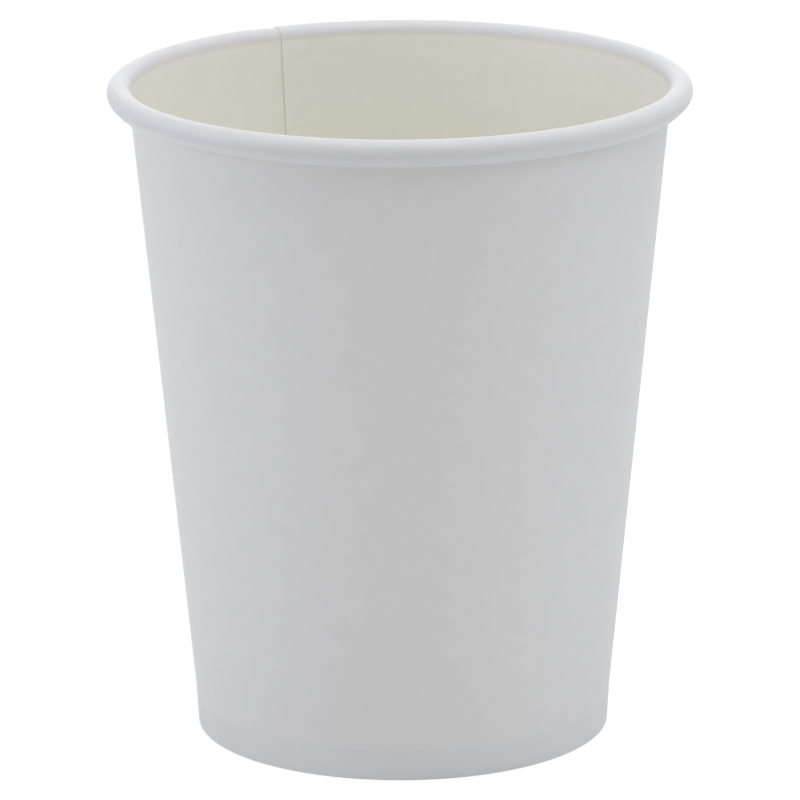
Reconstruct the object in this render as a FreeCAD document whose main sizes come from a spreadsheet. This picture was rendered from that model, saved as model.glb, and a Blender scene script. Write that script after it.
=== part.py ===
import FreeCAD, Part
import math
import os

import Sketcher
from FreeCAD import Placement, Rotation, Vector

# A single-wall paper coffee cup for hot drinks, standing on its foot.
# The origin is the middle of the foot, on the table. Z is the cup's axis, and the seam is at the back left.
# The wall is one blank of coated board. Its coated face is the inside of the cup and rolls outward over the
# rim, and its printed face is the outside. The bottom is a disc of thinner board with a drawn down skirt,
# which the wall's folded hem holds. Sizes are in millimetres and degrees.

SIZES = {
    # The whole cup, over its outer faces
    "cup_height": 91.5,
    "rim_radius": 40.0,
    "foot_radius": 28.57,
    # The wall's board, the pressed band at the foot (its lean as a share of the cup's, and its height) and
    # the bend above it. The wall's own lean is worked out: it runs straight from that bend to the rim.
    "board": 0.35,
    "band_lean": 0.667,
    "foot_band": 4.7,
    "band_bend": 40.0,
    # The rolled rim: the bend over its crest, its height, how steeply its side draws in below the crest,
    # how far the edge curls round in all after the widest place, and how far the curl stays from the wall
    "crest_radius": 1.63,
    "bead_height": 3.7,
    "side_slant": 45.0,
    "curl_turn": 165.0,
    "curl_gap": 0.3,
    # The fold under the foot, and how far the hem inside it ends below the bottom
    "fold_radius": 0.25,
    "hem_room": 0.4,
    # The side seam: where the inner edge lies, how wide the lap is, how far the blank takes to pass under
    # its own edge, how much thicker the sealed lap is than one board, and how much thinner the passing end
    # is pressed, so that its printed face lies just inside the lap's
    "seam_angle": 117.0,
    "lap_angle": 10.5,
    "ramp_angle": 8.0,
    "lap_step": 0.2,
    "press_in": 0.02,
    # The bottom: its board, the height of its underside, the bend of its skirt, and the sealed coating
    "bottom_board": 0.3,
    "bottom_recess": 4.6,
    "bottom_bend": 0.3,
    "seal_film": 0.02,
}
RAMP_STEPS = 4
FULL_TURN = 360.0
HALF_TURN = FULL_TURN / 2
QUARTER_TURN = FULL_TURN / 4
DOWN = FULL_TURN - QUARTER_TURN

# Ends of a line or an arc, and the axes of a sketch, as sketch constraints number them
START, END, CENTRE = range(1, 4)
AXIS, ACROSS = range(-2, 0)

# The lean of the foot's band: a share of the lean from the foot to the inside of the rolled rim
FOOT_TAPER_RULE = (
    "(Sizes.band_lean * atan((Sizes.rim_radius - 2 * Sizes.crest_radius - Sizes.foot_radius)"
    " / Sizes.cup_height))"
)
CUP_SPREAD = SIZES["rim_radius"] - 2 * SIZES["crest_radius"] - SIZES["foot_radius"]
FOOT_TAPER = SIZES["band_lean"] * math.degrees(math.atan(CUP_SPREAD / SIZES["cup_height"]))

doc = FreeCAD.newDocument("paper_coffee_cup")


def size_sheet():
    """The driving sizes, one named cell each."""
    sheet = doc.addObject("Spreadsheet::Sheet", "Sizes")
    for row, (name, value) in enumerate(SIZES.items(), start=1):
        sheet.set(f"A{row}", name)
        sheet.set(f"B{row}", str(value))
        sheet.setAlias(f"B{row}", name)
    return sheet


def taper_normal(taper):
    """The outward normal of a wall that leans outward by this angle, in radius and height."""
    return Vector(math.cos(math.radians(taper)), -math.sin(math.radians(taper)), 0)


def upright_sketch(body, name, turn, turn_rule):
    """An empty sketch on the half plane through the axis, turned about the axis."""
    sketch = body.newObject("Sketcher::SketchObject", name)
    plane = [p for p in body.Origin.OriginFeatures if p.Role == "XZ_Plane"][0]
    sketch.AttachmentSupport = [(plane, "")]
    sketch.MapMode = "FlatFace"
    sketch.AttachmentOffset = Placement(Vector(0, 0, 0), Rotation(Vector(0, 1, 0), turn))
    if turn_rule:
        sketch.setExpression(".AttachmentOffset.Rotation.Angle", turn_rule)
    return sketch


def add_line(sketch, start, end, construction=False):
    return sketch.addGeometry(Part.LineSegment(start, end), construction)


def add_arc(sketch, centre, radius, first, last):
    """An arc that runs anticlockwise from the first angle to the last."""
    circle = Part.Circle(centre, Vector(0, 0, 1), radius)
    return sketch.addGeometry(Part.ArcOfCircle(circle, math.radians(first), math.radians(last)), False)


def relate(sketch, kind, *where):
    """A geometric constraint, with no size."""
    sketch.addConstraint(Sketcher.Constraint(kind, *where))


def bind(sketch, name, rule, kind, *where):
    """A named size of the sketch, worked out from the cells. The last of where is its present value."""
    index = sketch.addConstraint(Sketcher.Constraint(kind, *where))
    sketch.renameConstraint(index, name)
    sketch.setExpression("Constraints." + name, rule)


def foot_line(offset, height):
    """The point at this height on a line that lies offset outside the foot's printed face."""
    normal = taper_normal(FOOT_TAPER)
    radius = SIZES["foot_radius"] + (offset - normal.y * height) / normal.x
    return Vector(radius, height, 0)


class BoardSection:
    """The wall's board, cut through the cup's axis: hem, flat foot fold, foot band, wall and rolled rim.

    coat and printed say how far each face has moved towards the printed side, as shares of the step at the
    seam, and pressed what share of the pressing the printed face has. All are 0 away from the seam. Both
    faces move out where the blank starts to pass under its own edge, and where it lies double only the
    printed face has moved. The bends keep their centres, so the faces stay parallel from section to section.
    """

    def __init__(self, body, name, turn, turn_rule, coat, printed, pressed):
        self.sketch = upright_sketch(body, name, turn, turn_rule)
        self.coat_rule = f"Sizes.lap_step * {coat}"
        self.printed_rule = f"(Sizes.lap_step * {printed} - Sizes.press_in * {pressed})"
        self.thick_rule = f"(Sizes.board + {self.printed_rule} - {self.coat_rule})"
        self.coat = SIZES["lap_step"] * coat
        self.printed = SIZES["lap_step"] * printed - SIZES["press_in"] * pressed
        self.thick = SIZES["board"] + self.printed - self.coat
        self.foot_normal = taper_normal(FOOT_TAPER)
        self.lay_out()
        self.draw_foot()
        self.draw_hem()
        self.draw_wall()
        self.draw_rim()
        self.join()
        self.size_foot()
        self.size_rim()

    def lay_out(self):
        """Finds the centres of the bends, and the lean of the wall that runs straight between them."""
        crest, bend = SIZES["crest_radius"], SIZES["band_bend"]
        board, rim, top = SIZES["board"], SIZES["rim_radius"], SIZES["cup_height"]
        self.bend_centre = foot_line(-board, SIZES["foot_band"]) + self.foot_normal * bend
        self.crest_centre = Vector(rim - crest, top - crest, 0)
        span = self.crest_centre - self.bend_centre
        lean = math.atan2(span.x, span.y) + math.asin((bend - crest) / span.Length)
        self.wall_taper = math.degrees(lean)
        self.wall_normal = taper_normal(self.wall_taper)
        self.crest = crest - self.coat
        self.bend = bend - self.coat

        # The curl touches the bead's lowest level and its drawn in side, and keeps its gap to the wall
        wall, side = self.wall_normal, taper_normal(SIZES["side_slant"])
        low = top - SIZES["bead_height"]
        wall_reach = (self.bend_centre - wall * (bend - board)).dot(wall) + SIZES["curl_gap"]
        side_reach = self.crest_centre.dot(side) + crest
        start = (side_reach - side.y * low) / side.x
        room = wall.x * start + wall.y * low - wall_reach
        curl = room / (1 - wall.y + wall.x * (1 + side.y) / side.x)
        self.curl_centre = Vector(start - curl * (1 + side.y) / side.x, low + curl, 0)
        self.curl = curl - self.coat
        self.gap = SIZES["curl_gap"] + self.coat - self.printed

    def draw_foot(self):
        sketch, normal = self.sketch, self.foot_normal
        board, fold = SIZES["board"], SIZES["fold_radius"]
        coat_bottom = foot_line(self.coat - board, board)
        coat_top = self.bend_centre - normal * self.bend
        self.coat_foot = add_line(sketch, coat_bottom, coat_top)
        printed_top = self.bend_centre - normal * (self.bend - self.thick)
        outer = foot_line(self.printed - fold, fold)
        self.printed_foot = add_line(sketch, outer + normal * fold, printed_top)
        self.outer_fold = add_arc(sketch, outer, fold, DOWN, FULL_TURN - FOOT_TAPER)
        self.outer_fold_bottom = Vector(outer.x, 0, 0)
        self.coat_bottom = coat_bottom

    def draw_hem(self):
        sketch, normal = self.sketch, self.foot_normal
        board, fold = SIZES["board"], SIZES["fold_radius"]
        hem = SIZES["bottom_recess"] - SIZES["hem_room"]
        self.pocket = SIZES["bottom_board"] + 2 * SIZES["seal_film"] + 2 * self.coat
        coat_offset = self.coat - board - self.pocket
        coat_low = foot_line(coat_offset, board)
        coat_high = foot_line(coat_offset, hem)
        inner = foot_line(coat_offset - self.thick + fold, fold)
        printed_high = coat_high - normal * self.thick
        self.fold_floor = add_line(sketch, coat_low, self.coat_bottom)
        self.coat_hem = add_line(sketch, coat_high, coat_low)
        self.hem_edge = add_line(sketch, printed_high, coat_high)
        self.printed_hem = add_line(sketch, inner - normal * fold, printed_high)
        self.inner_fold = add_arc(sketch, inner, fold, HALF_TURN - FOOT_TAPER, DOWN)
        self.foot_flat = add_line(sketch, Vector(inner.x, 0, 0), self.outer_fold_bottom)

    def draw_wall(self):
        sketch, normal = self.sketch, self.wall_normal
        angles = (HALF_TURN - self.wall_taper, HALF_TURN - FOOT_TAPER)
        inside_bend, inside_crest = self.bend - self.thick, self.crest - self.thick
        self.coat_bend = add_arc(sketch, self.bend_centre, self.bend, *angles)
        self.printed_bend = add_arc(sketch, self.bend_centre, inside_bend, *angles)
        coat_high = self.crest_centre - normal * self.crest
        printed_high = self.crest_centre - normal * inside_crest
        self.coat_wall = add_line(sketch, self.bend_centre - normal * self.bend, coat_high)
        self.printed_wall = add_line(sketch, self.bend_centre - normal * inside_bend, printed_high)

    def draw_rim(self):
        sketch, turn, slant = self.sketch, SIZES["curl_turn"], SIZES["side_slant"]
        wall, side = self.wall_normal, taper_normal(slant)
        crest_top, curl_top = self.crest_centre, self.curl_centre
        inside_crest, inside_curl = self.crest - self.thick, self.curl - self.thick
        crest_angles, curl_angles = (-slant, HALF_TURN - self.wall_taper), (-turn, -slant)
        self.coat_crest = add_arc(sketch, crest_top, self.crest, *crest_angles)
        self.printed_crest = add_arc(sketch, crest_top, inside_crest, *crest_angles)
        self.coat_side = add_line(sketch, crest_top + side * self.crest, curl_top + side * self.curl)
        self.printed_side = add_line(sketch, crest_top + side * inside_crest, curl_top + side * inside_curl)
        self.coat_curl = add_arc(sketch, curl_top, self.curl, *curl_angles)
        self.printed_curl = add_arc(sketch, curl_top, inside_curl, *curl_angles)
        spoke = taper_normal(turn)
        self.rim_edge = add_line(sketch, curl_top + spoke * inside_curl, curl_top + spoke * self.curl)
        self.post = add_line(sketch, crest_top, crest_top + Vector(0, self.crest, 0), True)
        self.beam = add_line(sketch, crest_top, crest_top + Vector(self.crest, 0, 0), True)
        self.plumb = add_line(sketch, curl_top, curl_top - Vector(0, self.curl, 0), True)
        near_wall = curl_top - wall * self.curl
        self.gap_line = add_line(sketch, near_wall, near_wall - wall * self.gap, True)

    def join(self):
        """Closes the outline: sharp at the cut edges and the inner creases, and smooth elsewhere."""
        sketch = self.sketch
        for first, first_end, second, second_end in (
            (self.hem_edge, END, self.coat_hem, START),
            (self.coat_hem, END, self.fold_floor, START),
            (self.fold_floor, END, self.coat_foot, START),
            (self.coat_curl, START, self.rim_edge, END),
            (self.rim_edge, START, self.printed_curl, START),
            (self.printed_hem, END, self.hem_edge, START),
        ):
            relate(sketch, "Coincident", first, first_end, second, second_end)
        for first, first_end, second, second_end in (
            (self.coat_foot, END, self.coat_bend, END),
            (self.coat_bend, START, self.coat_wall, START),
            (self.coat_wall, END, self.coat_crest, END),
            (self.coat_crest, START, self.coat_side, START),
            (self.coat_side, END, self.coat_curl, END),
            (self.printed_foot, END, self.printed_bend, END),
            (self.printed_bend, START, self.printed_wall, START),
            (self.printed_wall, END, self.printed_crest, END),
            (self.printed_crest, START, self.printed_side, START),
            (self.printed_side, END, self.printed_curl, END),
            (self.printed_hem, START, self.inner_fold, START),
            (self.inner_fold, END, self.foot_flat, START),
            (self.foot_flat, END, self.outer_fold, START),
            (self.outer_fold, END, self.printed_foot, START),
        ):
            relate(sketch, "Tangent", first, first_end, second, second_end)
        for coat, printed in (
            (self.coat_bend, self.printed_bend),
            (self.coat_crest, self.printed_crest),
            (self.coat_curl, self.printed_curl),
        ):
            relate(sketch, "Coincident", coat, CENTRE, printed, CENTRE)

    def size_foot(self):
        sketch = self.sketch
        relate(sketch, "Horizontal", self.foot_flat)
        relate(sketch, "PointOnObject", self.foot_flat, START, ACROSS)
        relate(sketch, "Horizontal", self.fold_floor)
        relate(sketch, "Equal", self.inner_fold, self.outer_fold)
        relate(sketch, "Parallel", self.coat_foot, self.printed_foot)
        relate(sketch, "Parallel", self.coat_foot, self.coat_hem)
        relate(sketch, "Parallel", self.coat_hem, self.printed_hem)
        relate(sketch, "Perpendicular", self.coat_hem, self.hem_edge)
        corner = sketch.addGeometry(Part.Point(foot_line(self.printed, 0)), True)
        relate(sketch, "PointOnObject", corner, START, self.printed_foot)
        relate(sketch, "PointOnObject", corner, START, ACROSS)
        lean = self.foot_normal.x
        bind(
            sketch, "foot_radius", f"Sizes.foot_radius + {self.printed_rule} / cos({FOOT_TAPER_RULE})",
            "DistanceX", AXIS, START, corner, START, SIZES["foot_radius"] + self.printed / lean,
        )
        bind(
            sketch, "foot_taper", FOOT_TAPER_RULE,
            "Angle", self.coat_foot, START, AXIS, START, math.radians(FOOT_TAPER),
        )
        bind(sketch, "fold_radius", "Sizes.fold_radius", "Radius", self.outer_fold, SIZES["fold_radius"])
        bind(
            sketch, "floor_board", "Sizes.board",
            "DistanceY", ACROSS, START, self.coat_foot, START, SIZES["board"],
        )
        bind(
            sketch, "foot_band", f"Sizes.foot_band - {self.coat_rule} * sin({FOOT_TAPER_RULE})",
            "DistanceY", ACROSS, START, self.coat_foot, END,
            SIZES["foot_band"] + self.coat * self.foot_normal.y,
        )
        bind(
            sketch, "foot_board", self.thick_rule,
            "Distance", self.printed_foot, START, self.coat_foot, self.thick,
        )
        bind(
            sketch, "pocket", f"Sizes.bottom_board + 2 * Sizes.seal_film + 2 * {self.coat_rule}",
            "Distance", self.coat_hem, START, self.coat_foot, self.pocket,
        )
        bind(sketch, "hem_board", self.thick_rule, "Distance", self.hem_edge, self.thick)
        bind(
            sketch, "hem_height", "Sizes.bottom_recess - Sizes.hem_room",
            "DistanceY", ACROSS, START, self.coat_hem, START, SIZES["bottom_recess"] - SIZES["hem_room"],
        )

    def size_rim(self):
        sketch, turn = self.sketch, SIZES["curl_turn"]
        rim, top = SIZES["rim_radius"] - self.coat, SIZES["cup_height"] - self.coat
        low = SIZES["cup_height"] - SIZES["bead_height"] + self.coat
        relate(sketch, "Parallel", self.coat_side, self.printed_side)
        relate(sketch, "Coincident", self.beam, START, self.coat_crest, CENTRE)
        relate(sketch, "PointOnObject", self.beam, END, self.coat_crest)
        relate(sketch, "Horizontal", self.beam)
        relate(sketch, "Coincident", self.post, START, self.coat_crest, CENTRE)
        relate(sketch, "PointOnObject", self.post, END, self.coat_crest)
        relate(sketch, "Vertical", self.post)
        relate(sketch, "Coincident", self.plumb, START, self.coat_curl, CENTRE)
        relate(sketch, "PointOnObject", self.plumb, END, self.coat_curl)
        relate(sketch, "Vertical", self.plumb)
        relate(sketch, "PointOnObject", self.gap_line, START, self.coat_curl)
        relate(sketch, "PointOnObject", self.gap_line, END, self.printed_wall)
        relate(sketch, "Perpendicular", self.gap_line, self.printed_wall)
        relate(sketch, "PointOnObject", self.coat_curl, CENTRE, self.gap_line)
        relate(sketch, "PointOnObject", self.coat_curl, CENTRE, self.rim_edge)
        bind(
            sketch, "band_bend", f"Sizes.band_bend - {self.coat_rule}",
            "Radius", self.coat_bend, self.bend,
        )
        bind(
            sketch, "crest_radius", f"Sizes.crest_radius - {self.coat_rule}",
            "Radius", self.coat_crest, self.crest,
        )
        relate(sketch, "Parallel", self.coat_wall, self.printed_wall)
        bind(
            sketch, "rim_radius", f"Sizes.rim_radius - {self.coat_rule}",
            "DistanceX", AXIS, START, self.beam, END, rim,
        )
        bind(
            sketch, "cup_height", f"Sizes.cup_height - {self.coat_rule}",
            "DistanceY", ACROSS, START, self.post, END, top,
        )
        bind(
            sketch, "bead_bottom", f"Sizes.cup_height - Sizes.bead_height + {self.coat_rule}",
            "DistanceY", ACROSS, START, self.plumb, END, low,
        )
        bind(
            sketch, "curl_gap", f"Sizes.curl_gap + {self.coat_rule} - {self.printed_rule}",
            "Distance", self.gap_line, self.gap,
        )
        bind(
            sketch, "side_slant", "Sizes.side_slant",
            "Angle", self.coat_side, END, AXIS, START, math.radians(SIZES["side_slant"]),
        )
        bind(
            sketch, "curl_turn", f"{HALF_TURN} - Sizes.curl_turn",
            "Angle", self.rim_edge, END, ACROSS, START, math.radians(HALF_TURN - turn),
        )


def turned(feature, section, angle, rule):
    """Turns a section about the cup's axis, anticlockwise from its own half plane."""
    feature.Profile = section
    feature.ReferenceAxis = (section, ["V_Axis"])
    feature.Angle = angle
    feature.setExpression("Angle", rule)
    feature.Refine = False


def cup_wall():
    """The wrapped blank: once round, a ramp where it passes under its own edge, and the double lap."""
    body = doc.addObject("PartDesign::Body", "cup_wall")
    body.Label = "cup_wall"
    seam, lap, ramp = SIZES["seam_angle"], SIZES["lap_angle"], SIZES["ramp_angle"]

    stations = []
    for step in range(RAMP_STEPS + 1):
        share = step / RAMP_STEPS
        moved = 1 - share
        section = BoardSection(
            body, f"ramp_section_{step}", seam + ramp * share,
            f"Sizes.seam_angle + Sizes.ramp_angle * {share}", moved, moved, moved,
        )
        stations.append(section)
    lapped = BoardSection(
        body, "lap_section", seam - lap, "Sizes.seam_angle - Sizes.lap_angle", 0, 1, 0
    )

    round_wall = body.newObject("PartDesign::Revolution", "round_wall")
    turned(
        round_wall, stations[-1].sketch, FULL_TURN - lap - ramp,
        f"{FULL_TURN} - Sizes.lap_angle - Sizes.ramp_angle",
    )
    doc.recompute()
    ramp_wall = body.newObject("PartDesign::AdditiveLoft", "ramp_wall")
    ramp_wall.Profile = stations[0].sketch
    ramp_wall.Sections = [section.sketch for section in stations[1:]]
    ramp_wall.Ruled = True
    ramp_wall.Refine = False
    doc.recompute()
    lap_wall = body.newObject("PartDesign::Revolution", "lap_wall")
    turned(lap_wall, lapped.sketch, lap, "Sizes.lap_angle")
    return body


def cup_bottom():
    """The bottom disc, with its edge bent down into a skirt that stands on the floor of the wall's fold."""
    body = doc.addObject("PartDesign::Body", "cup_bottom")
    body.Label = "cup_bottom"
    sketch = upright_sketch(body, "bottom_section", 0, "")
    board, film, disc_board = SIZES["board"], SIZES["seal_film"], SIZES["bottom_board"]
    recess, bend = SIZES["bottom_recess"], SIZES["bottom_bend"]
    normal, up = taper_normal(FOOT_TAPER), Vector(0, 1, 0)
    outer, inner = -board - film, -board - film - disc_board
    centre = foot_line(inner - bend, recess - bend)
    low_outer, low_inner = foot_line(outer, board), foot_line(inner, board)
    under_middle, top_middle = Vector(0, recess, 0), Vector(0, recess + disc_board, 0)
    angles = (FULL_TURN - FOOT_TAPER, FULL_TURN + QUARTER_TURN)

    underside = add_line(sketch, under_middle, centre + up * bend)
    inner_bend = add_arc(sketch, centre, bend, *angles)
    skirt_inner = add_line(sketch, centre + normal * bend, low_inner)
    skirt_edge = add_line(sketch, low_inner, low_outer)
    skirt_outer = add_line(sketch, low_outer, centre + normal * (bend + disc_board))
    outer_bend = add_arc(sketch, centre, bend + disc_board, *angles)
    top = add_line(sketch, centre + up * (bend + disc_board), top_middle)
    middle = add_line(sketch, top_middle, under_middle)
    corner = sketch.addGeometry(Part.Point(foot_line(0, 0)), True)

    for first, first_end, second, second_end in (
        (top, END, middle, START),
        (middle, END, underside, START),
        (skirt_inner, END, skirt_edge, START),
        (skirt_edge, END, skirt_outer, START),
        (inner_bend, CENTRE, outer_bend, CENTRE),
    ):
        relate(sketch, "Coincident", first, first_end, second, second_end)
    for first, first_end, second, second_end in (
        (underside, END, inner_bend, END),
        (inner_bend, START, skirt_inner, START),
        (skirt_outer, END, outer_bend, START),
        (outer_bend, END, top, START),
    ):
        relate(sketch, "Tangent", first, first_end, second, second_end)
    relate(sketch, "PointOnObject", middle, START, AXIS)
    relate(sketch, "PointOnObject", middle, END, AXIS)
    for level in (underside, top, skirt_edge):
        relate(sketch, "Horizontal", level)
    relate(sketch, "Parallel", skirt_inner, skirt_outer)
    relate(sketch, "PointOnObject", corner, START, ACROSS)

    bind(
        sketch, "foot_taper", FOOT_TAPER_RULE,
        "Angle", skirt_outer, START, AXIS, START, math.radians(FOOT_TAPER),
    )
    bind(
        sketch, "foot_radius", "Sizes.foot_radius",
        "DistanceX", AXIS, START, corner, START, SIZES["foot_radius"],
    )
    bind(
        sketch, "wall_board", "Sizes.board + Sizes.seal_film",
        "Distance", corner, START, skirt_outer, board + film,
    )
    bind(sketch, "fold_floor", "Sizes.board", "DistanceY", ACROSS, START, skirt_outer, START, board)
    bind(sketch, "bottom_recess", "Sizes.bottom_recess", "DistanceY", ACROSS, START, middle, END, recess)
    bind(sketch, "bottom_board", "Sizes.bottom_board", "Distance", middle, disc_board)
    bind(sketch, "bottom_bend", "Sizes.bottom_bend", "Radius", inner_bend, bend)

    disc = body.newObject("PartDesign::Revolution", "disc_and_skirt")
    disc.Profile = sketch
    disc.ReferenceAxis = (sketch, ["V_Axis"])
    disc.Angle = FULL_TURN
    return body


def check_document(bodies):
    """Stops before anything is written if a feature failed or a piece isn't one sound solid."""
    for thing in doc.Objects:
        if "Invalid" in thing.State or "Error" in thing.State:
            raise RuntimeError(f"{thing.Name} failed: {thing.State}")
    for body in bodies:
        shape = body.Shape
        if shape.isNull() or not shape.isValid() or len(shape.Solids) != 1:
            raise RuntimeError(f"{body.Label} isn't one sound solid")


size_sheet()
doc.recompute()
cup_pieces = [cup_wall(), cup_bottom()]
for piece in cup_pieces:
    piece.Placement = Placement(Vector(0, 0, 0), Rotation())
doc.recompute()
check_document(cup_pieces)

os.makedirs("parts", exist_ok=True)
for piece in cup_pieces:
    piece.Shape.exportStep(f"parts/{piece.Label}.step")
    print(piece.Label, round(piece.Shape.Volume, 2), "cubic mm")
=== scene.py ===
import math

import bpy
import numpy as np
from mathutils import Matrix, Vector


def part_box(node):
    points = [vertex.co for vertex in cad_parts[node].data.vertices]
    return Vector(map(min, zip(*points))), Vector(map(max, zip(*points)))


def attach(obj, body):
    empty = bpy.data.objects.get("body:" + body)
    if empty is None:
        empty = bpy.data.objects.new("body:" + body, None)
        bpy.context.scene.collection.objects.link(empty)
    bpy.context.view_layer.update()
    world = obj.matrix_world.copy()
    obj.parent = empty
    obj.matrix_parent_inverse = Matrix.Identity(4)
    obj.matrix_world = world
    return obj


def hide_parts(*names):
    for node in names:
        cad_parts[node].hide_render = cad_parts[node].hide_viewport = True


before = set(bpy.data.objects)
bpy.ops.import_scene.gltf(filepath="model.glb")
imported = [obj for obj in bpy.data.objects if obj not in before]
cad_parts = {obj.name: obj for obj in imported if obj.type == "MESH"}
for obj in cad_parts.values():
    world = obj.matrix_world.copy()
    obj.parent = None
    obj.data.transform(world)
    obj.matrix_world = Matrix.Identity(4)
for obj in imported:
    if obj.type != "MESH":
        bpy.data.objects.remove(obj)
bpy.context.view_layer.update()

# A plain paper coffee cup. Its lengths are in millimetres; the lamps, camera and floor are in metres.
MM = 0.001
SCENE = bpy.context.scene

# The rim and the height come from the frame, and the other sizes are the source's own
rim_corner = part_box("cup_wall")[1]
CUP_HEIGHT = rim_corner[2] / MM
RIM_RADIUS = rim_corner[0] / MM
FOOT_RADIUS = 28.57
BOARD = 0.35
FOOT_BAND = 4.7
BAND_BEND = 40.0
CREST = 1.63
BEAD_HEIGHT = 3.7
SIDE_SLANT = math.radians(45.0)
CURL_TURN = math.radians(165.0)
CURL_GAP = 0.3
FOLD_RADIUS = 0.25
HEM_HEIGHT = 4.2
POCKET = 0.34

# The foot's band leans outward by this share of the cup's own lean
BAND_LEAN = 0.667
FOOT_TAPER = BAND_LEAN * math.atan((RIM_RADIUS - 2 * CREST - FOOT_RADIUS) / CUP_HEIGHT)

# The side seam, in degrees about the axis: the inner free edge, the double lap and the ramp under the edge
SEAM_ANGLE = 117.0
LAP_ANGLE = 10.5
RAMP_ANGLE = 8.0
LAP_STEP = 0.2
EDGE_SHADOW = 0.02

# The bottom disc, the film of melted coating beside its skirt, and the share of its radius at the middle
# that one flat face closes
BOTTOM_BOARD = 0.3
BOTTOM_RECESS = 4.6
BOTTOM_BEND = 0.3
SEAL_FILM = 0.02
HUB_SHARE = 0.04

# How finely the meshes are cut, round the axis and along the wall's longest stretches
ROUND_COLUMNS = 480
SEAM_COLUMNS = 17
BOTTOM_COLUMNS = 256
WALL_ROWS = 30
CREST_ROWS = 40
CURL_ROWS = 20

# An edge sharper than this many degrees isn't shaded smooth
WALL_SHARP = 32
BOTTOM_SHARP = 40

COAT, PRINT, RAW = 0, 1, 2


def taper_normal(taper):
    """The outward normal of a wall that leans outward by this angle, in radius and height."""
    return np.array([math.cos(taper), -math.sin(taper)])


FOOT_NORMAL = taper_normal(FOOT_TAPER)
SIDE_NORMAL = taper_normal(SIDE_SLANT)


def foot_line(offset, height):
    """The point at this height on a line that lies offset outside the foot's printed face."""
    return np.array([FOOT_RADIUS + (offset - FOOT_NORMAL[1] * height) / FOOT_NORMAL[0], height])


# The wall runs straight from the bend above the foot's band to the bend over the crest
BEND_CENTRE = foot_line(-BOARD, FOOT_BAND) + FOOT_NORMAL * BAND_BEND
CREST_CENTRE = np.array([RIM_RADIUS - CREST, CUP_HEIGHT - CREST])
SPAN = CREST_CENTRE - BEND_CENTRE
WALL_TAPER = math.atan2(SPAN[0], SPAN[1]) + math.asin((BAND_BEND - CREST) / math.hypot(*SPAN))
WALL_NORMAL = taper_normal(WALL_TAPER)

# The curl touches the bead's lowest level and its drawn in side, and keeps its gap to the wall
BEAD_LOW = CUP_HEIGHT - BEAD_HEIGHT
WALL_REACH = (BEND_CENTRE - WALL_NORMAL * (BAND_BEND - BOARD)) @ WALL_NORMAL + CURL_GAP
SIDE_START = (CREST_CENTRE @ SIDE_NORMAL + CREST - SIDE_NORMAL[1] * BEAD_LOW) / SIDE_NORMAL[0]
SIDE_RISE = (1 + SIDE_NORMAL[1]) / SIDE_NORMAL[0]
CURL = float(
    (WALL_NORMAL @ np.array([SIDE_START, BEAD_LOW]) - WALL_REACH)
    / (1 - WALL_NORMAL[1] + WALL_NORMAL[0] * SIDE_RISE)
)
CURL_CENTRE = np.array([SIDE_START - CURL * SIDE_RISE, BEAD_LOW + CURL])


def straight(first, last, count):
    """Points from the first, without the last."""
    share = np.arange(count)[:, None] / count
    return np.asarray(first) * (1 - share) + np.asarray(last) * share


def arc(centre, radius, first, last, count):
    """Points on an arc from the first angle, without the last."""
    angle = first + (last - first) * np.arange(count) / count
    return centre + radius * np.stack([np.cos(angle), np.sin(angle)], axis=1)


def on_arc(centre, radius, angle):
    """The point of an arc at this angle."""
    return centre + radius * np.array([math.cos(angle), math.sin(angle)])


def tangent(first, first_radius, last, last_radius, angle, count):
    """Points on the straight stretch that leaves one arc and meets the other at the same angle."""
    return straight(on_arc(first, first_radius, angle), on_arc(last, last_radius, angle), count)


def outline(parts):
    """Joins the parts of an outline into its points and the material of each segment."""
    points = np.concatenate([part for part, _ in parts])
    slots = np.concatenate([np.full(len(part), slot) for part, slot in parts])
    return points, slots


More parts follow.
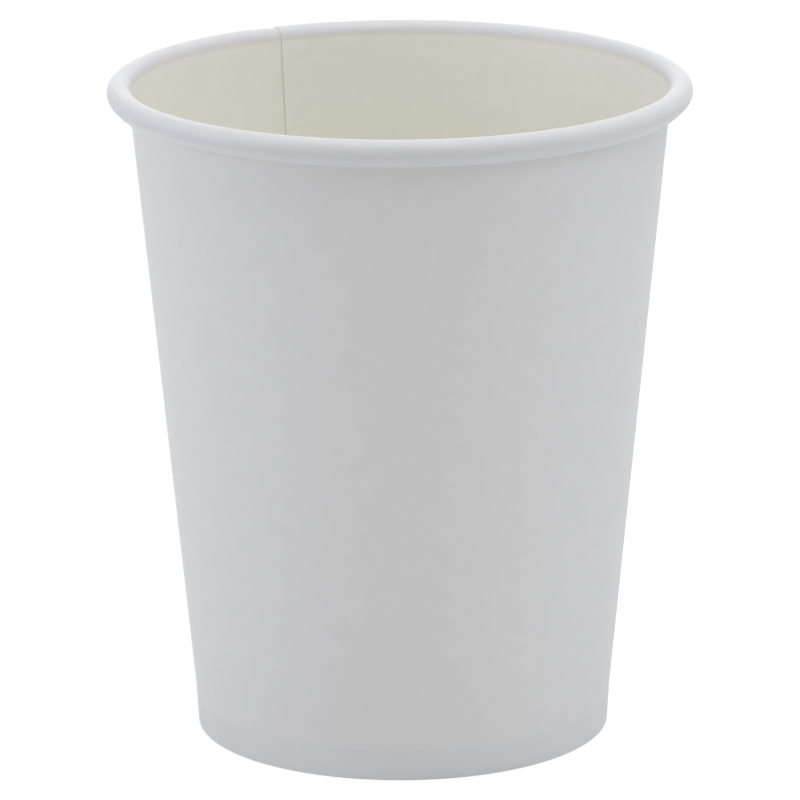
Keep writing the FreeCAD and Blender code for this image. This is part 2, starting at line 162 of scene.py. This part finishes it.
def board_outline(coat, printed):
    """The board cut through the axis, as a closed outline that starts at the hem's cut edge.

    coat and printed say how far each face has moved towards the printed side, in millimetres. The last
    number of each stretch says how many rows it is cut into.
    """
    thick = BOARD + printed - coat
    wall_angle, foot_angle, down = math.pi - WALL_TAPER, math.pi - FOOT_TAPER, -math.pi / 2
    coat_bend, coat_crest, coat_curl = BAND_BEND - coat, CREST - coat, CURL - coat
    print_bend = BAND_BEND - BOARD - printed
    print_crest = CREST - BOARD - printed
    print_curl = CURL - BOARD - printed
    hem_offset = -BOARD - POCKET - coat
    hem_top = foot_line(hem_offset, HEM_HEIGHT)
    hem_low = foot_line(hem_offset, BOARD)
    hem_edge = hem_top - FOOT_NORMAL * thick
    foot_low = foot_line(coat - BOARD, BOARD)
    bend_low = on_arc(BEND_CENTRE, coat_bend, foot_angle)
    bend_under = on_arc(BEND_CENTRE, print_bend, foot_angle)
    outer_fold = foot_line(printed - FOLD_RADIUS, FOLD_RADIUS)
    inner_fold = foot_line(hem_offset - thick + FOLD_RADIUS, FOLD_RADIUS)
    return outline([
        (straight(hem_top, hem_low, 3), COAT),
        (straight(hem_low, foot_low, 2), COAT),
        (straight(foot_low, bend_low, 4), COAT),
        (arc(BEND_CENTRE, coat_bend, foot_angle, wall_angle, 4), COAT),
        (tangent(BEND_CENTRE, coat_bend, CREST_CENTRE, coat_crest, wall_angle, WALL_ROWS), COAT),
        (arc(CREST_CENTRE, coat_crest, wall_angle, -SIDE_SLANT, CREST_ROWS), COAT),
        (tangent(CREST_CENTRE, coat_crest, CURL_CENTRE, coat_curl, -SIDE_SLANT, 2), COAT),
        (arc(CURL_CENTRE, coat_curl, -SIDE_SLANT, -CURL_TURN, CURL_ROWS), COAT),
        (tangent(CURL_CENTRE, coat_curl, CURL_CENTRE, print_curl, -CURL_TURN, 1), RAW),
        (arc(CURL_CENTRE, print_curl, -CURL_TURN, -SIDE_SLANT, 8), PRINT),
        (tangent(CURL_CENTRE, print_curl, CREST_CENTRE, print_crest, -SIDE_SLANT, 1), PRINT),
        (arc(CREST_CENTRE, print_crest, -SIDE_SLANT, wall_angle, 16), PRINT),
        (tangent(CREST_CENTRE, print_crest, BEND_CENTRE, print_bend, wall_angle, WALL_ROWS), PRINT),
        (arc(BEND_CENTRE, print_bend, wall_angle, foot_angle, 4), PRINT),
        (straight(bend_under, on_arc(outer_fold, FOLD_RADIUS, -FOOT_TAPER), 5), PRINT),
        (arc(outer_fold, FOLD_RADIUS, -FOOT_TAPER, down, 6), PRINT),
        (tangent(outer_fold, FOLD_RADIUS, inner_fold, FOLD_RADIUS, down, 1), PRINT),
        (arc(inner_fold, FOLD_RADIUS, down, 2 * down - FOOT_TAPER, 6), PRINT),
        (straight(on_arc(inner_fold, FOLD_RADIUS, foot_angle), hem_edge, 4), PRINT),
        (straight(hem_edge, hem_top, 1), RAW),
    ])


def bottom_outline():
    """The bottom cut through the axis, from the middle of its upper face to the middle of its underside."""
    outer = -BOARD - SEAL_FILM
    inner = outer - BOTTOM_BOARD
    centre = foot_line(inner - BOTTOM_BEND, BOTTOM_RECESS - BOTTOM_BEND)
    outer_bend = BOTTOM_BEND + BOTTOM_BOARD
    upright = math.pi / 2
    above = np.array([HUB_SHARE * centre[0], BOTTOM_RECESS + BOTTOM_BOARD])
    below = np.array([HUB_SHARE * centre[0], BOTTOM_RECESS])
    return outline([
        (straight(above, centre + (0.0, outer_bend), 13), COAT),
        (arc(centre, outer_bend, upright, -FOOT_TAPER, 10), COAT),
        (straight(centre + FOOT_NORMAL * outer_bend, foot_line(outer, BOARD), 3), COAT),
        (straight(foot_line(outer, BOARD), foot_line(inner, BOARD), 1), RAW),
        (straight(foot_line(inner, BOARD), centre + FOOT_NORMAL * BOTTOM_BEND, 3), PRINT),
        (arc(centre, BOTTOM_BEND, -FOOT_TAPER, upright, 6), PRINT),
        (straight(centre + (0.0, BOTTOM_BEND), below, 13), PRINT),
        (below[None, :], PRINT),
    ])


def seam_columns():
    """Angle, coat shift and printed shift of every column, going round from the seam's inner edge."""
    lap_end = SEAM_ANGLE - LAP_ANGLE
    ramp_start = SEAM_ANGLE + RAMP_ANGLE - 360.0
    round_angle = 360.0 - LAP_ANGLE - RAMP_ANGLE
    columns = []
    for share in np.linspace(0, 1, SEAM_COLUMNS):
        columns.append((SEAM_ANGLE - LAP_ANGLE * share, 0.0, LAP_STEP))
    for share in np.linspace(0, 1, ROUND_COLUMNS):
        columns.append((lap_end - round_angle * share, 0.0, 0.0))
    for share in np.linspace(0, 1, SEAM_COLUMNS)[1:]:
        moved = share * share * (3 - 2 * share)
        coat = (LAP_STEP + EDGE_SHADOW) * moved
        columns.append((ramp_start - RAMP_ANGLE * share, coat, LAP_STEP * moved))
    return columns


def turned(points, angle):
    """An outline's points at this angle about the axis, in metres."""
    radius = points[:, 0] * MM
    return np.stack([radius * math.cos(angle), radius * math.sin(angle), points[:, 1] * MM], axis=1)


def quad(rows, column, after, row, below):
    """The face between two columns and two rows of points."""
    return [column * rows + row, column * rows + below, after * rows + below, after * rows + row]


def welded(verts, faces, slots):
    """Joins points that lie together and leaves out the faces that this closes up."""
    digits = 8
    keys = {}
    index = []
    kept = []
    for vert in verts:
        key = tuple(np.round(vert, digits))
        if key not in keys:
            keys[key] = len(kept)
            kept.append(vert)
        index.append(keys[key])
    new_faces, new_slots = [], []
    for face, slot in zip(faces, slots):
        loop = [index[corner] for corner in face]
        loop = [vert for place, vert in enumerate(loop) if vert != loop[place - 1]]
        if len(loop) >= 3:
            new_faces.append(loop)
            new_slots.append(slot)
    return kept, new_faces, new_slots


def mesh_object(name, verts, faces, slots, materials, sharp):
    """A smooth shaded object with a material for each face, and its corners over the sharp angle kept."""
    mesh = bpy.data.meshes.new(name)
    mesh.from_pydata([tuple(vert) for vert in verts], [], faces)
    for material in materials:
        mesh.materials.append(material)
    mesh.polygons.foreach_set("material_index", np.asarray(slots, dtype=np.int32))
    mesh.polygons.foreach_set("use_smooth", np.ones(len(faces), dtype=bool))
    mesh.update()
    mesh.validate()
    mesh.set_sharp_from_angle(angle=math.radians(sharp))
    obj = bpy.data.objects.new(name, mesh)
    SCENE.collection.objects.link(obj)
    return obj


def build_wall(materials):
    """The wrapped blank: its outline swept round the axis, with the lap's two free edges as real steps."""
    same_angle, least_step = 1e-6, 0.05
    columns = seam_columns()
    verts = []
    for turn, coat, printed in columns:
        points, segment_slots = board_outline(coat, printed)
        verts.append(turned(points, math.radians(turn)))
    rows = len(segment_slots)
    faces, slots = [], []
    for column, (turn, coat, printed) in enumerate(columns):
        after = (column + 1) % len(columns)
        next_turn, next_coat, next_printed = columns[after]
        step = abs(coat - next_coat) + abs(printed - next_printed)
        cut = abs((turn - next_turn) % 360.0) < same_angle and step > least_step
        for row in range(rows):
            faces.append(quad(rows, column, after, row, (row + 1) % rows))
            slots.append(RAW if cut else int(segment_slots[row]))
    verts, faces, slots = welded(np.concatenate(verts), faces, slots)
    return mesh_object("wrapped_wall", verts, faces, slots, materials, WALL_SHARP)


def build_bottom(materials):
    """The bottom disc with its drawn skirt, which stands in the fold of the wall."""
    points, segment_slots = bottom_outline()
    rows = len(points)
    around = range(BOTTOM_COLUMNS)
    verts = [turned(points, 2 * math.pi * column / BOTTOM_COLUMNS) for column in around]
    faces, slots = [], []
    for column in around:
        after = (column + 1) % BOTTOM_COLUMNS
        for row in range(rows - 1):
            faces.append(quad(rows, after, column, row, row + 1))
            slots.append(int(segment_slots[row]))
    faces.append([column * rows for column in around])
    slots.append(COAT)
    faces.append([column * rows + rows - 1 for column in reversed(around)])
    slots.append(PRINT)
    return mesh_object("bottom_disc", np.concatenate(verts), faces, slots, materials, BOTTOM_SHARP)


def larger(tree, first, second):
    """The larger of two node values."""
    node = tree.nodes.new("ShaderNodeMath")
    node.operation = "MAXIMUM"
    tree.links.new(first, node.inputs[0])
    tree.links.new(second, node.inputs[1])
    return node.outputs["Value"]


class Surface:
    """A Principled material, and short calls that add nodes to it."""

    # Most of a noise node's values lie between these two
    NOISE_LOW, NOISE_HIGH = 0.3, 0.7

    def __init__(self, name, roughness, specular):
        self.material = bpy.data.materials.new(name)
        self.material.use_nodes = True
        self.tree = self.material.node_tree
        self.nodes = self.tree.nodes
        self.links = self.tree.links
        self.shader = self.nodes["Principled BSDF"]
        self.shader.inputs["Roughness"].default_value = roughness
        self.shader.inputs["Specular IOR Level"].default_value = specular
        self.place = self.nodes.new("ShaderNodeTexCoord").outputs["Object"]
        self.normal = None

    def noise(self, scale, detail, roughness=0.5):
        """Noise over the object's own places."""
        node = self.nodes.new("ShaderNodeTexNoise")
        node.inputs["Scale"].default_value = scale
        node.inputs["Detail"].default_value = detail
        node.inputs["Roughness"].default_value = roughness
        self.links.new(self.place, node.inputs["Vector"])
        return node.outputs["Fac"]

    def ramp(self, value, low, high, first=0.0, last=1.0):
        """A smooth change of a value from first to last as it goes from low to high."""
        node = self.nodes.new("ShaderNodeMapRange")
        node.interpolation_type = "SMOOTHSTEP"
        node.inputs["From Min"].default_value = low
        node.inputs["From Max"].default_value = high
        node.inputs["To Min"].default_value = first
        node.inputs["To Max"].default_value = last
        self.links.new(value, node.inputs["Value"])
        return node.outputs["Result"]

    def mottle(self, noise, first=0.0, last=1.0):
        """Noise that fills the range from first to last."""
        return self.ramp(noise, self.NOISE_LOW, self.NOISE_HIGH, first, last)

    def mix(self, share, first, second, blend="MIX"):
        """Two colours mixed by a share, each a tuple or a node's colour."""
        node = self.nodes.new("ShaderNodeMix")
        node.data_type = "RGBA"
        node.blend_type = blend
        if isinstance(share, float):
            node.inputs["Factor"].default_value = share
        else:
            self.links.new(share, node.inputs["Factor"])
        # Sockets 6 and 7 and output 2 are the ones that carry colours
        first_colour, second_colour, result = node.inputs[6], node.inputs[7], node.outputs[2]
        for socket, value in ((first_colour, first), (second_colour, second)):
            if isinstance(value, tuple):
                socket.default_value = (*value, 1.0)
            else:
                self.links.new(value, socket)
        return result

    def times(self, tone, factor):
        """A colour multiplied by another."""
        return self.mix(1.0, tone, factor, "MULTIPLY")

    def height(self):
        """The height above the table, in metres."""
        node = self.nodes.new("ShaderNodeSeparateXYZ")
        self.links.new(self.place, node.inputs["Vector"])
        return node.outputs["Z"]

    def radius(self):
        """The distance from the cup's axis, in metres."""
        flat = self.nodes.new("ShaderNodeVectorMath")
        flat.operation = "MULTIPLY"
        flat.inputs[1].default_value = (1.0, 1.0, 0.0)
        self.links.new(self.place, flat.inputs[0])
        length = self.nodes.new("ShaderNodeVectorMath")
        length.operation = "LENGTH"
        self.links.new(flat.outputs["Vector"], length.inputs[0])
        return length.outputs["Value"]

    def colour(self, value):
        """Gives the board this colour."""
        self.links.new(value, self.shader.inputs["Base Color"])

    def roughness(self, value):
        """Gives the board this roughness."""
        self.links.new(value, self.shader.inputs["Roughness"])

    def bump(self, value, strength, depth):
        """One more layer of bump over those before it, with its depth in millimetres."""
        node = self.nodes.new("ShaderNodeBump")
        node.inputs["Strength"].default_value = strength
        node.inputs["Distance"].default_value = depth * MM
        self.links.new(value, node.inputs["Height"])
        if self.normal:
            self.links.new(self.normal, node.inputs["Normal"])
        self.normal = node.outputs["Normal"]
        self.links.new(self.normal, self.shader.inputs["Normal"])


# Board colours. Painted shade makes the bead and the foot's band darker, for the light that shines through
# one board but not through the several that lie together there; painted light makes the cream inside
# brighter, for the light that shines in through the wall.
BEAD_WHITE_PAINTED_SHADE = (0.716, 0.716, 0.730)
CREAM_PAINTED_LIGHT = (0.922, 0.909, 0.836)
CREAM_MOTTLE_PAINTED_LIGHT = (0.905, 0.891, 0.815)
COAT_DIM = (0.985, 0.985, 0.98)
PRINT_WHITE = (0.764, 0.762, 0.749)
PRINT_DIM = (0.985, 0.985, 0.985)
BAND_PAINTED_SHADE = (0.742, 0.746, 0.748)
RAW_EDGE = (0.840, 0.825, 0.690)
RAW_FIBRE = (0.89, 0.875, 0.76)
PLAIN_WHITE = (0.78, 0.775, 0.745)
PLAIN_MOTTLE = (0.755, 0.75, 0.715)

# Where the cream with painted light turns to the bead's white with painted shade: depths below the crest,
# and distances in from the rim's outside
CREAM_DEPTH, BEAD_DEPTH = 2.2, 0.7
CREAM_INSIDE, BEAD_INSIDE = 1.9, 1.4

# The heights between which the foot band's painted shade fades into the wall's white
PAINTED_SHADE_TOP, WHITE_LOW = 4.2, 4.55


def coated_board():
    """The coated face: the inside of the cup, with painted light in its cream, and the rim that it rolls
    over, with painted shade in its white.
    """
    surface = Surface("coated_board", roughness=0.42, specular=0.25)
    low, high = (CUP_HEIGHT - CREAM_DEPTH) * MM, (CUP_HEIGHT - BEAD_DEPTH) * MM
    over_rim = surface.ramp(surface.height(), low, high)
    near, far = (RIM_RADIUS - CREAM_INSIDE) * MM, (RIM_RADIUS - BEAD_INSIDE) * MM
    outside = surface.ramp(surface.radius(), near, far)
    # Painted light and shade: the inside's cream is painted brighter and the bead's white darker
    tone = surface.mix(larger(surface.tree, over_rim, outside), CREAM_PAINTED_LIGHT, BEAD_WHITE_PAINTED_SHADE)
    mottle = surface.mottle(surface.noise(420.0, 3.0))
    surface.colour(surface.mix(mottle, tone, surface.times(tone, COAT_DIM)))
    surface.roughness(surface.mottle(surface.noise(900.0, 3.0), 0.38, 0.48))
    surface.bump(surface.noise(90.0, 2.0), strength=0.25, depth=0.05)
    surface.bump(surface.noise(5200.0, 3.0, 0.6), strength=0.2, depth=0.008)
    return surface.material


def printed_board():
    """The plain white outside, with painted shade on the foot's band, where three boards lie together and
    let less light through.
    """
    surface = Surface("printed_board", roughness=0.55, specular=0.3)
    # Painted shade: the foot's band is painted darker than the wall
    band_painted_shade = surface.ramp(surface.height(), PAINTED_SHADE_TOP * MM, WHITE_LOW * MM, 1.0, 0.0)
    tone = surface.mix(band_painted_shade, PRINT_WHITE, BAND_PAINTED_SHADE)
    mottle = surface.mottle(surface.noise(360.0, 3.0))
    surface.colour(surface.mix(mottle, tone, surface.times(tone, PRINT_DIM)))
    surface.roughness(surface.mottle(surface.noise(1100.0, 3.0), 0.5, 0.62))
    surface.bump(surface.noise(80.0, 2.0), strength=0.25, depth=0.05)
    surface.bump(surface.noise(4600.0, 4.0, 0.65), strength=0.3, depth=0.012)
    return surface.material


def raw_board():
    """The cut edge of the board, where its cream fibres show between the two white faces."""
    surface = Surface("raw_board_edge", roughness=0.85, specular=0.2)
    surface.colour(surface.mix(surface.mottle(surface.noise(6000.0, 3.0, 0.6)), RAW_EDGE, RAW_FIBRE))
    surface.bump(surface.noise(7000.0, 3.0, 0.7), strength=0.5, depth=0.03)
    return surface.material


def bottom_coated():
    """The bottom's coated upper face, in the inside's cream, which carries painted light."""
    surface = Surface("bottom_coated_board", roughness=0.45, specular=0.4)
    # Painted light: the cream is painted brighter, as on the inside of the wall
    surface.colour(surface.mix(surface.mottle(surface.noise(380.0, 3.0)), CREAM_PAINTED_LIGHT, CREAM_MOTTLE_PAINTED_LIGHT))
    surface.roughness(surface.mottle(surface.noise(900.0, 3.0), 0.4, 0.5))
    surface.bump(surface.noise(70.0, 2.0), strength=0.3, depth=0.08)
    surface.bump(surface.noise(5200.0, 3.0, 0.6), strength=0.2, depth=0.008)
    return surface.material


def bottom_plain():
    """The bottom's uncoated underside."""
    surface = Surface("bottom_plain_board", roughness=0.7, specular=0.25)
    surface.colour(surface.mix(surface.mottle(surface.noise(500.0, 4.0)), PLAIN_WHITE, PLAIN_MOTTLE))
    surface.roughness(surface.mottle(surface.noise(900.0, 3.0), 0.62, 0.76))
    surface.bump(surface.noise(80.0, 2.0), strength=0.3, depth=0.08)
    surface.bump(surface.noise(4200.0, 4.0, 0.65), strength=0.35, depth=0.015)
    return surface.material


def split_rays(tree, output, for_light, for_camera):
    """Gives the output one shader for the light that is thrown about, and one for what the camera sees."""
    path = tree.nodes.new("ShaderNodeLightPath").outputs
    mirrored = larger(tree, path["Is Glossy Ray"], path["Is Transmission Ray"])
    mix = tree.nodes.new("ShaderNodeMixShader")
    tree.links.new(larger(tree, path["Is Camera Ray"], mirrored), mix.inputs["Fac"])
    tree.links.new(for_light, mix.inputs[1])
    tree.links.new(for_camera, mix.inputs[2])
    tree.links.new(mix.outputs["Shader"], tree.nodes.new(output).inputs["Surface"])


# The floor: half its side, its grey in the thrown light, and its glow and added glow to the camera
FLOOR_HALF = 3.0
FLOOR_GREY = 0.9
FLOOR_GLOW = 0.82
FLOOR_LIFT = 0.05


def floor_material():
    """White to the camera with the cup's shadow on it, and plain pale to the light that it throws back."""
    material = bpy.data.materials.new("pale_floor")
    material.use_nodes = True
    tree = material.node_tree
    tree.nodes.clear()
    plain, faint = (tree.nodes.new("ShaderNodeBsdfDiffuse") for _ in range(2))
    for diffuse, grey in ((plain, FLOOR_GREY), (faint, 1 - FLOOR_GLOW)):
        diffuse.inputs["Color"].default_value = (grey, grey, grey, 1.0)
    glow = tree.nodes.new("ShaderNodeEmission")
    glow.inputs["Strength"].default_value = FLOOR_GLOW + FLOOR_LIFT
    both = tree.nodes.new("ShaderNodeAddShader")
    tree.links.new(faint.outputs["BSDF"], both.inputs[0])
    tree.links.new(glow.outputs["Emission"], both.inputs[1])
    split_rays(tree, "ShaderNodeOutputMaterial", plain.outputs["BSDF"], both.outputs["Shader"])
    return material


def build_floor():
    """A wide flat floor under the cup."""
    far = FLOOR_HALF
    mesh = bpy.data.meshes.new("floor")
    mesh.from_pydata([(-far, -far, 0), (far, -far, 0), (far, far, 0), (-far, far, 0)], [], [(0, 1, 2, 3)])
    mesh.materials.append(floor_material())
    floor = bpy.data.objects.new("floor", mesh)
    SCENE.collection.objects.link(floor)
    return floor


# The studio's own even light, and the white that the camera sees behind the cup
STUDIO_LIGHT = 0.255
BACKGROUND = 1.0


def build_world():
    """Even light on the cup, and a white background to the camera."""
    world = bpy.data.worlds.new("studio")
    SCENE.world = world
    world.use_nodes = True
    tree = world.node_tree
    tree.nodes.clear()
    fill, white = (tree.nodes.new("ShaderNodeBackground") for _ in range(2))
    for background, strength in ((fill, STUDIO_LIGHT), (white, BACKGROUND)):
        background.inputs["Color"].default_value = (1.0, 1.0, 1.0, 1.0)
        background.inputs["Strength"].default_value = strength
    split_rays(tree, "ShaderNodeOutputWorld", fill.outputs["Background"], white.outputs["Background"])


# Soft square lamps, all aimed at the middle of the cup: name, place, side of the square, watts, colour
LAMP_TARGET = Vector((0.0, 0.0, 0.045))
LAMPS = [
    ("left", (-0.75, -0.11, 0.32), 0.60, 2.18, (0.862, 0.880, 1.0)),
    ("right", (0.75, -0.10, 0.27), 0.60, 0.98, (0.780, 0.820, 1.0)),
    ("top", (0.0, -0.03, 0.90), 0.70, 2.95, (1.0, 1.0, 1.0)),
    ("top_left", (-0.45, -0.10, 0.80), 0.35, 0.36, (0.992, 0.990, 1.0)),
    ("top_right", (0.45, -0.10, 0.80), 0.35, 0.28, (0.965, 0.978, 1.0)),
    ("front_right", (0.40, -0.47, 0.68), 0.40, 1.20, (1.0, 0.988, 0.966)),
    ("high_right", (0.42, 0.40, 0.76), 0.35, 0.95, (0.984, 0.986, 1.0)),
    ("back", (0.0, 0.85, 0.25), 0.60, 0.65, (0.985, 0.99, 1.0)),
]


def build_lamp(name, place, size, energy, tone):
    """One soft square lamp, aimed at the cup."""
    lamp = bpy.data.lights.new(name, "AREA")
    lamp.shape = "SQUARE"
    lamp.size = size
    lamp.energy = energy
    lamp.color = tone
    obj = bpy.data.objects.new(name, lamp)
    obj.location = place
    aim = LAMP_TARGET - Vector(place)
    obj.rotation_euler = aim.to_track_quat("-Z", "Y").to_euler()
    SCENE.collection.objects.link(obj)


# The camera, fitted to the cup's outline in the photograph, with its focal length in the photograph's pixels
CAMERA_RISE = math.radians(15.20)
CAMERA_ROLL = math.radians(-0.294)
CAMERA_DISTANCE = 0.8785
CAMERA_TARGET = Vector((-0.00020, 0.0, 0.04587))
FOCAL_PIXELS = 6347.0
PHOTO_PIXELS = 800.0
SENSOR_WIDTH = 36.0


def build_camera():
    """The photograph's view: a long lens, 15 degrees above the table."""
    back = Vector((0.0, -math.cos(CAMERA_RISE), math.sin(CAMERA_RISE)))
    right = (-back).cross(Vector((0, 0, 1))).normalized()
    up = right.cross(-back)
    across = right * math.cos(CAMERA_ROLL) + up * math.sin(CAMERA_ROLL)
    upward = -right * math.sin(CAMERA_ROLL) + up * math.cos(CAMERA_ROLL)
    data = bpy.data.cameras.new("camera")
    data.sensor_width = SENSOR_WIDTH
    data.lens = FOCAL_PIXELS * SENSOR_WIDTH / PHOTO_PIXELS
    data.clip_start = 0.05
    data.clip_end = 20.0
    camera = bpy.data.objects.new("camera", data)
    turn = Matrix((across, upward, back)).transposed().to_4x4()
    camera.matrix_world = Matrix.Translation(CAMERA_TARGET + back * CAMERA_DISTANCE) @ turn
    SCENE.collection.objects.link(camera)
    SCENE.camera = camera


SCENE.view_settings.view_transform = "Standard"
build_camera()
for lamp in LAMPS:
    build_lamp(*lamp)
build_world()
build_floor()

wall = build_wall([coated_board(), printed_board(), raw_board()])
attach(wall, "root")
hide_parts("cup_wall")

bottom = build_bottom([bottom_coated(), bottom_plain(), wall.data.materials[RAW]])
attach(bottom, "root")
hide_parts("cup_bottom")
